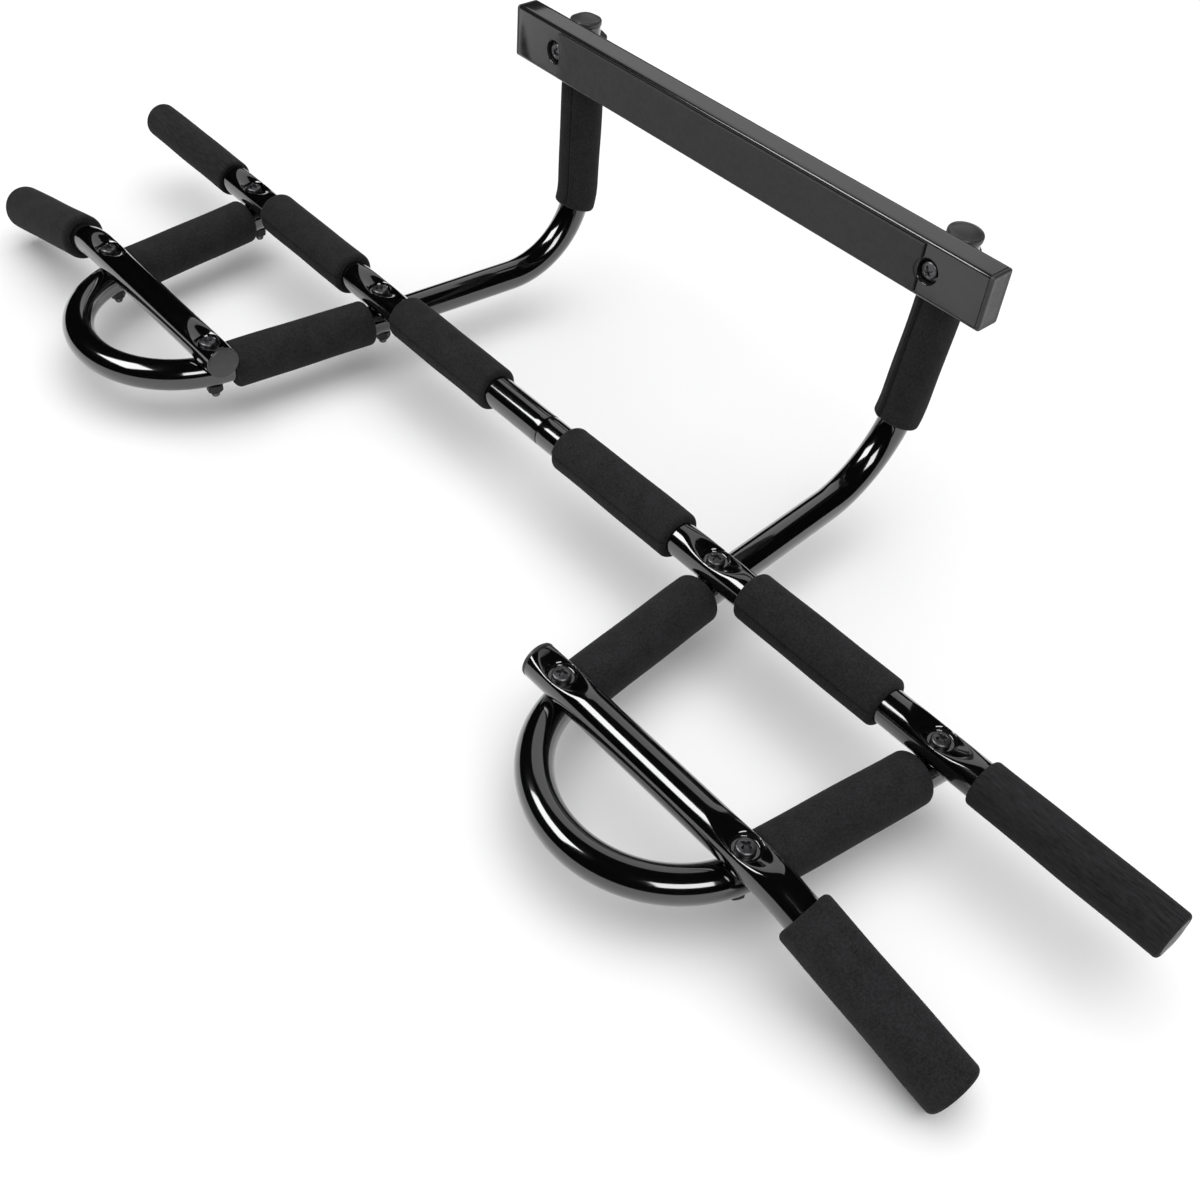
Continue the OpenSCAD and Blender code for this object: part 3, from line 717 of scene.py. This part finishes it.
# Rows run out along the foam and back through its bore. Outside radius = outer, rounded over at
# both ends, + a slow wobble (product of sines). A glued seam adds a groove, exp(-(arc / width)
# squared), a low lip above it, and a step down below it that fades out as exp(-arc / reach).
def foamSolid(path, first, length, inner, outer, upward=(0, 0, 1), seam=None, phase=0.0, around=112):
    r = min(grip["round"], (outer - inner) * 0.8)
    c, s = quarter(8)
    body = np.linspace(r, length - r, max(12, int(length / 1.8)))[1:-1]
    at = np.concatenate([[0, 0], r * (1 - s[::-1]), body, length - r * (1 - s),
                         [length, length, length - 1.0, length / 2, 1.0]])
    rise = np.concatenate([[inner, inner + 0.3], (outer - r + r * c)[::-1], np.full(len(body), outer),
                           outer - r + r * c, [inner + 0.3, inner, inner, inner, inner]])
    a = np.linspace(0, 2 * math.pi, around, endpoint=False)[None, :]
    t = at[:, None]
    outside = np.clip((rise - inner) / (outer - inner), 0, 1)[:, None]
    wobble = grip["wobble"] * (np.sin(2 * a + phase) * np.sin(t / 17.0 + phase)
                               + 0.6 * np.sin(3 * a - t / 9.0 + 2 * phase))
    radius = rise[:, None] + outside * wobble
    if seam is not None:
        arc = (np.mod(a - math.radians(seam) + math.pi, 2 * math.pi) - math.pi) * outer
        groove = grip["seamDepth"] * np.exp(-(arc / grip["seamWidth"]) ** 2)
        lip = grip["lipHeight"] * np.exp(-((arc + 1.5) / 1.1) ** 2)
        step = grip["step"] * ramp((arc + 0.4) / 0.8) * np.exp(-np.maximum(arc, 0) / grip["stepReach"])
        radius = radius + outside * (lip - groove - step)
    return rings(path, first + at, radius, around, upward)


barPath = bentPath([[0, 0, 0], [600, 0, 0]], [])
barGrip = {"length": 104.0, "radius": 15.5, "centre": 36.0, "outerLeft": 203.0, "outerRight": 199.0}


# A seamed grip on the main bar, from the given x outwards.
def barGripSolid(start, phase):
    return foamSolid(barPath, start, barGrip["length"], layout["barRadius"], barGrip["radius"],
                     seam=grip["seamAngle"], phase=phase)


addPair("centreGrip", [barGripSolid(barGrip["centre"], 0.4)], foam, "foam", "centre_grip",
        closedRows=True, foam=0.95)
for side, phase in (("Right", 1.3), ("Left", 2.1)):
    addSide("outerGrip", side, [barGripSolid(barGrip["outer" + side], phase)], foam, "foam", "outer_grip",
            closedRows=True, foam=0.95)

endGrip = {"length": 115.5, "radius": 13.75, "outerEnd": 482.5}
solid = foamSolid(barPath, endGrip["outerEnd"] - endGrip["length"], endGrip["length"],
                  layout["barRadius"], endGrip["radius"], phase=0.9)
addPair("endGrip", [solid], drawnFoam, "foam", "end_grip", closedRows=True, foam=0.95)

legGrip = {"length": 104.0, "radius": 16.0, "gap": 11.5, "shortGap": 20.5, "seam": 190.0}
innerLegPath = bentPath([innerCross, innerCross + legIn * 200], [])
outerLegPath = bentPath([outerCross, outerCross + legOut * 200], [])
for name, node, path, phase in (("innerLegGrip", "inner_leg_grip", innerLegPath, 0.2),
                                ("outerLegGrip", "outer_leg_grip", outerLegPath, 1.7)):
    solid = foamSolid(path, legGrip["gap"], legGrip["length"], layout["loopRadius"], legGrip["radius"],
                      seam=legGrip["seam"], phase=phase)
    addPair(name, [solid], foam, "foam", node, closedRows=True, foam=0.95)
for side, way in shortWays.items():
    path = bentPath([shortCorner, shortCorner + way * 200], [])
    solid = foamSolid(path, legGrip["shortGap"], legGrip["length"], layout["barRadius"], legGrip["radius"],
                      seam=legGrip["seam"], phase=2.6)
    addSide("shortBarGrip", side, [solid], foam, "foam", "short_bar_grip", closedRows=True, foam=0.95)

sleeve = {
    "radius": 15.0, "top": 119.5, "seam": 250.0,
    "turn": 18.0,               # degrees of the arm's bend that it covers
}
armBendEnd = armCorner + upWay * loop["armRadius"] * math.tan(math.acos(float(armWay @ upWay)) / 2)
sleevePath = bentPath([armCorner - armWay * 90, armCorner, armTop], [loop["armRadius"]])
bendEndAt = 90 - np.linalg.norm(armBendEnd - armCorner) + loop["armRadius"] * math.acos(float(armWay @ upWay))
sleeveFrom = bendEndAt - loop["armRadius"] * math.radians(sleeve["turn"])
sleeveTo = bendEndAt + (sleeve["top"] - armBendEnd[2]) / upWay[2]
solid = foamSolid(sleevePath, sleeveFrom, sleeveTo - sleeveFrom, layout["loopRadius"] + 0.03,
                  sleeve["radius"], upward=(1, 0, 0), seam=sleeve["seam"], phase=0.7)
addPair("armSleeve", [solid], foam, "foam", "arm_sleeve", closedRows=True, foam=0.95)
print("foam made")

# End plugs and caps

plug = {
    "wall": 1.5,                # of the tube that the stem sits in
    "rim": 2.0, "dome": 1.0, "edge": 0.7,
    "stem": 14.0, "shortStem": 4.0,     # a short one where a bolt stands close behind
    "capRim": 4.0, "capDome": 3.0, "capOver": 0.5, "capEdge": 1.6,
}


# A stem, a rim that covers the tube's end, a rounded edge and a domed face. Radius against
# distance, turned about the tube's line.
def plugSolid(at, way, tube, rim=plug["rim"], dome=plug["dome"], over=0.0, edge=plug["edge"],
              stem=plug["stem"]):
    bore = tube - plug["wall"]
    c, s = quarter(6)
    profile = [(-stem, bore - 0.8), (-stem + 0.8, bore), (-0.02, bore), (0.0, tube + over - 0.35),
               (0.25, tube + over - 0.05)]
    profile += [(rim - edge + edge * si, tube + over - edge + edge * ci) for ci, si in zip(c, s)]
    face = np.linspace(1, 0.02, 12)[1:]
    reach = tube + over - edge
    profile += [(rim + dome * (1 - f * f), reach * f) for f in face]
    return turned(profile, at, way, 72, upward=(0.2, 0.3, 1))


barR, loopR = layout["barRadius"], layout["loopRadius"]
legEnd = outerCross - legOut * loop["tail"]
for name, node, solid in (
        ("mainBarPlug", "main_bar_plug", plugSolid([layout["halfBar"], 0, 0], [1, 0, 0], barR)),
        ("shortBarInnerPlug", "short_bar_inner_plug",
         plugSolid(shortStart, [-1, 0, 0], barR, stem=plug["shortStem"])),
        ("legEndPlug", "leg_end_plug", plugSolid(legEnd, -legOut, loopR, stem=plug["shortStem"])),
        ("armTopCap", "arm_top_cap",
         plugSolid(armTop, upWay, loopR, plug["capRim"], plug["capDome"], plug["capOver"], plug["capEdge"],
                   plug["shortStem"]))):
    addPair(name, [solid], plastic, "plastic", node)
for side, way in shortWays.items():
    solid = plugSolid(shortCorner + way * shortBar["endLength"], way, barR)
    addSide("shortBarOuterPlug", side, [solid], plastic, "plastic", "short_bar_outer_plug")
print("plugs made")

# Fasteners

bolt = {
    "length": 42.0, "shank": 2.96,
    "head": 5.5, "headHeight": 3.6, "side": 1.5, "edge": 1.5,
    "cross": 3.3, "slot": 0.7, "recess": 1.9,
    "pitch": 1.0, "thread": 0.34, "threadLength": 18.0,
}


# Down the middle of a pan head, over its dome and rounded edge, in under it and down the shank.
# The cross recess is cut into the dome's height, and the thread is a triangle wave of height and
# angle.
def boltSolid():
    flatTop = np.linspace(0.03, bolt["head"] - bolt["edge"], 30)
    c, s = quarter(9)
    shoulder = bolt["side"] + bolt["edge"]
    dome = shoulder + (bolt["headHeight"] - shoulder) * (1 - (flatTop / flatTop[-1]) ** 2)
    topR = np.concatenate([flatTop, (bolt["head"] - bolt["edge"] + bolt["edge"] * c)[::-1][1:]])
    topZ = np.concatenate([dome, (bolt["side"] + bolt["edge"] * s)[::-1][1:]])
    sideZ = [bolt["side"] * 0.6, 0.25, 0.0]
    sideR = [bolt["head"], bolt["head"], bolt["head"] - 0.25]
    smooth = np.array([0.0, -1.0, -(bolt["length"] - bolt["threadLength"])])
    thread = np.arange(-(bolt["length"] - bolt["threadLength"]) - 0.2, -bolt["length"] + 1.0, -0.2)
    z = np.concatenate([topZ, sideZ, smooth, thread, [-bolt["length"] + 0.5, -bolt["length"]]])
    r = np.concatenate([topR, sideR, np.full(len(smooth) + len(thread), bolt["shank"]),
                        [bolt["shank"] - 0.35, bolt["shank"] - 0.8]])
    around = 64
    a = np.linspace(0, 2 * math.pi, around, endpoint=False)[None, :]
    z, r = np.repeat(z[:, None], around, 1), np.repeat(r[:, None], around, 1)
    rows = len(topR)
    x, y = r * np.cos(a), r * np.sin(a)
    first = ramp((bolt["slot"] + 0.25 - np.abs(y)) / 0.3) * ramp((bolt["cross"] - np.abs(x)) / 0.9)
    second = ramp((bolt["slot"] + 0.25 - np.abs(x)) / 0.3) * ramp((bolt["cross"] - np.abs(y)) / 0.9)
    recess = np.maximum(first, second)
    centreWell = ramp((1.35 - r) / 0.5)
    depth = bolt["recess"] * np.maximum(recess, centreWell)
    z[:rows] -= depth[:rows]
    turns = z / bolt["pitch"] + a / (2 * math.pi)
    wave = 2 * np.abs(turns - np.floor(turns + 0.5))
    inThread = (z < -(bolt["length"] - bolt["threadLength"])) & (z > -bolt["length"] + 0.7)
    r = np.where(inThread, r - bolt["thread"] * (1 - wave), r)
    return np.stack([r * np.cos(a), r * np.sin(a), z], -1)


washer = {"bore": 3.3, "radius": 6.0, "thick": 1.2, "edge": 0.25}


# An eight-cornered section, turned about the bolt's line.
def washerSolid():
    inner, outer, thick, edge = washer["bore"], washer["radius"], washer["thick"], washer["edge"]
    profile = [(-edge, inner), (0, inner + edge), (0, outer - edge), (-edge, outer),
               (-thick + edge, outer), (-thick, outer - edge), (-thick, inner + edge), (-thick + edge, inner)]
    return turned(profile, [0, 0, 0], [0, 0, 1], 64, upward=(1, 0, 0))


nut = {"thick": 5.0, "halfFlats": 5.0, "bore": 3.0}


# Radius = half the width across flats / cos(angle from the flat's middle), held inside a cone
# at both faces, which leaves the curved chamfer of a real nut.
def nutSolid():
    thick, half = nut["thick"], nut["halfFlats"]
    a = np.linspace(0, 2 * math.pi, 96, endpoint=False)[None, :]
    hexagon = half / np.cos(np.mod(a, math.pi / 3) - math.pi / 6)
    depth = np.array([0, 0, 0.15, 0.35, 0.6, 0.9, 1.4, 2.5, 3.6, 4.1, 4.4, 4.65, 4.85, 5.0, 5.0])
    limit = 4.95 + 1.7 * np.minimum(depth, thick - depth)
    radius = np.minimum(hexagon, limit[:, None])
    radius[0], radius[-1] = nut["bore"], nut["bore"]
    depth = np.concatenate([depth, [3.5, 1.5]])
    radius = np.concatenate([radius, np.full((2, 96), nut["bore"])])
    z = np.repeat(-depth[:, None], 96, 1)
    return np.stack([radius * np.cos(a), radius * np.sin(a), z], -1)


# Turned about Z by that many degrees.
def turnPlan(points, degrees):
    a = math.radians(degrees)
    x, y, z = points[..., 0], points[..., 1], points[..., 2]
    return np.stack([x * math.cos(a) - y * math.sin(a), x * math.sin(a) + y * math.cos(a), z], -1)


# A copy at each bolt of both sides, each turned to its own angle.
def onLegs(solid, bolts, z, turns):
    made = []
    for i, (x, y, _) in enumerate(bolts):
        made.append(turnPlan(solid, turns[i]) + [x, y, z])
        made.append(turnPlan(solid, turns[i + 2]) + [-x, y, z])
    return made


# A copy at each crossbar bolt, laid over so that its top faces the user: y = -z, z = y.
def onCrossbar(solid, y, turns):
    made = []
    for sign, degrees in zip((1, -1), turns):
        p = turnPlan(solid, degrees)
        place = [sign * boltPoint[0], y, layout["crossMiddle"]]
        made.append(np.stack([p[..., 0], -p[..., 2], p[..., 1]], -1) + place)
    return made


oneBolt, oneWasher, oneNut = boltSolid(), washerSolid(), nutSolid()
headTurns = {"bar": (20, 62, 78, 10), "short": (38, 5, 55, 24), "cross": (30, 64)}
seatZ, washerZ = layout["seat"], layout["washerTop"]
addPiece("mainBarBolts", onLegs(oneBolt, barBolts, seatZ, headTurns["bar"]), screw, "zinc_black",
         ["main_bar_bolts"], crease=35)
addPiece("shortBarBolts", onLegs(oneBolt, shortBolts, seatZ, headTurns["short"]), screw, "zinc_black",
         ["short_bar_bolts"], crease=35)
addPiece("crossbarBolts", onCrossbar(oneBolt, crossFront + crossbar["cupDepth"], headTurns["cross"]),
         screw, "zinc_black", ["crossbar_bolts"], crease=35)
for label, node, bolts, turns in (("mainBar", "main_bar", barBolts, (12, 40, 3, 25)),
                                  ("shortBar", "short_bar", shortBolts, (33, 8, 50, 17))):
    addPiece(label + "Washers", onLegs(oneWasher, bolts, washerZ, turns), nutSteel, "zinc_black",
             [node + "_washers"], closedRows=True, crease=30)
    addPiece(label + "Nuts", onLegs(oneNut, bolts, washerZ - washer["thick"], turns), nutSteel, "zinc_black",
             [node + "_nuts"], closedRows=True, crease=30)
addPiece("crossbarWashers", onCrossbar(oneWasher, crossWasherY, (0, 0)), nutSteel, "zinc_black",
         ["crossbar_washers"], closedRows=True, crease=30)
addPiece("crossbarNuts", onCrossbar(oneNut, crossWasherY + washer["thick"], (15, 40)), nutSteel, "zinc_black",
         ["crossbar_nuts"], closedRows=True, crease=30)
print("fasteners made")

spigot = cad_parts["main_bar_spigot"]
spigot.data.materials.clear()
spigot.data.materials.append(bareSteel)

# Floor, light and camera

floorLook = {
    "half": 3.0, "under": 0.0005,       # metres
    "colours": ("#f4f4f4", "#ffffff"), "cloud": (300, 2.0),
    "shader": {"Roughness": 0.95, "Specular IOR Level": 0.1},
}


# A square of matt white paper just under the lowest point.
def makeFloor():
    half, z = floorLook["half"], -floorLook["under"]
    mesh = bpy.data.meshes.new("studioFloor")
    corners = [(-half, -half, z), (half, -half, z), (half, half, z), (-half, half, z)]
    mesh.from_pydata(corners, [], [(0, 1, 2, 3)])
    mesh.materials.append(makeFinish("paperSweep", floorLook))
    floor = bpy.data.objects.new("studioFloor", mesh)
    bpy.context.scene.collection.objects.link(floor)


makeFloor()

lights = {
    "leftBox": {"at": (-0.55, -0.85, 1.2), "to": (0.0, 0.0, 0.05), "size": (0.9, 0.6), "power": 17.0},
    "rightBox": {"at": (1.2, -0.6, 1.1), "to": (0.1, 0.0, 0.05), "size": (0.8, 0.55), "power": 12.0},
    "backBox": {"at": (-0.6, 1.05, 1.25), "to": (0.0, 0.1, 0.1), "size": (1.6, 1.4), "power": 6.0},
}
fill = {"strength": 1.85, "angle": 75.0, "tilt": 6.0, "world": 0.56}


# A softbox at one point that faces another. It shows in reflections only.
def addLight(name, at, to, size, power):
    light = bpy.data.lights.new(name, "AREA")
    light.shape = "RECTANGLE"
    light.size, light.size_y = size
    light.energy = power
    lamp = bpy.data.objects.new(name, light)
    forward = unit(np.array(to) - np.array(at))
    across = unit(np.cross(forward, (0, 0, 1)))
    axes = np.stack([across, np.cross(across, forward), -forward], 1).tolist()
    lamp.matrix_world = Matrix([[*row, p] for row, p in zip(axes, at)] + [[0, 0, 0, 1]])
    lamp.visible_diffuse = False
    bpy.context.scene.collection.objects.link(lamp)


# The softboxes draw the highlights; a broad fill from above, a little from behind, lights the
# paper and the foam, and draws none
for name, values in lights.items():
    addLight(name, **values)
overhead = bpy.data.lights.new("overheadFill", "SUN")
overhead.energy, overhead.angle = fill["strength"], math.radians(fill["angle"])
overheadLamp = bpy.data.objects.new("overheadFill", overhead)
overheadLamp.rotation_euler = (-math.radians(fill["tilt"]), 0, 0)
overheadLamp.visible_glossy = False
bpy.context.scene.collection.objects.link(overheadLamp)

world = bpy.data.worlds.new("studio")
world.use_nodes = True
world.node_tree.nodes["Background"].inputs["Color"].default_value = (1, 1, 1, 1)
world.node_tree.nodes["Background"].inputs["Strength"].default_value = fill["world"]
world.cycles_visibility.glossy = False
bpy.context.scene.world = world

camera = {
    "at": (537.435, -457.962, 557.420),          # mm from the main bar's middle
    "right": (0.65294933, 0.75425042, 0.06901799),
    "up": (-0.57029611, 0.42963613, 0.70012509),
    "lens": 41.446,
}
lens = bpy.data.cameras.new("camera")
lens.sensor_fit, lens.sensor_width, lens.lens = "HORIZONTAL", 36.0, camera["lens"]
lens.clip_start = 0.01
view = bpy.data.objects.new("camera", lens)
right, upward = unit(camera["right"]), unit(camera["up"])
columns = np.stack([right, upward, np.cross(right, upward)], 1).tolist()
place = (np.array(camera["at"]) + barMiddle) * mm
view.matrix_world = Matrix([[*row, p] for row, p in zip(columns, place.tolist())] + [[0, 0, 0, 1]])
bpy.context.scene.collection.objects.link(view)
bpy.context.scene.camera = view
bpy.context.scene.view_settings.view_transform = "Standard"
print("stage made")
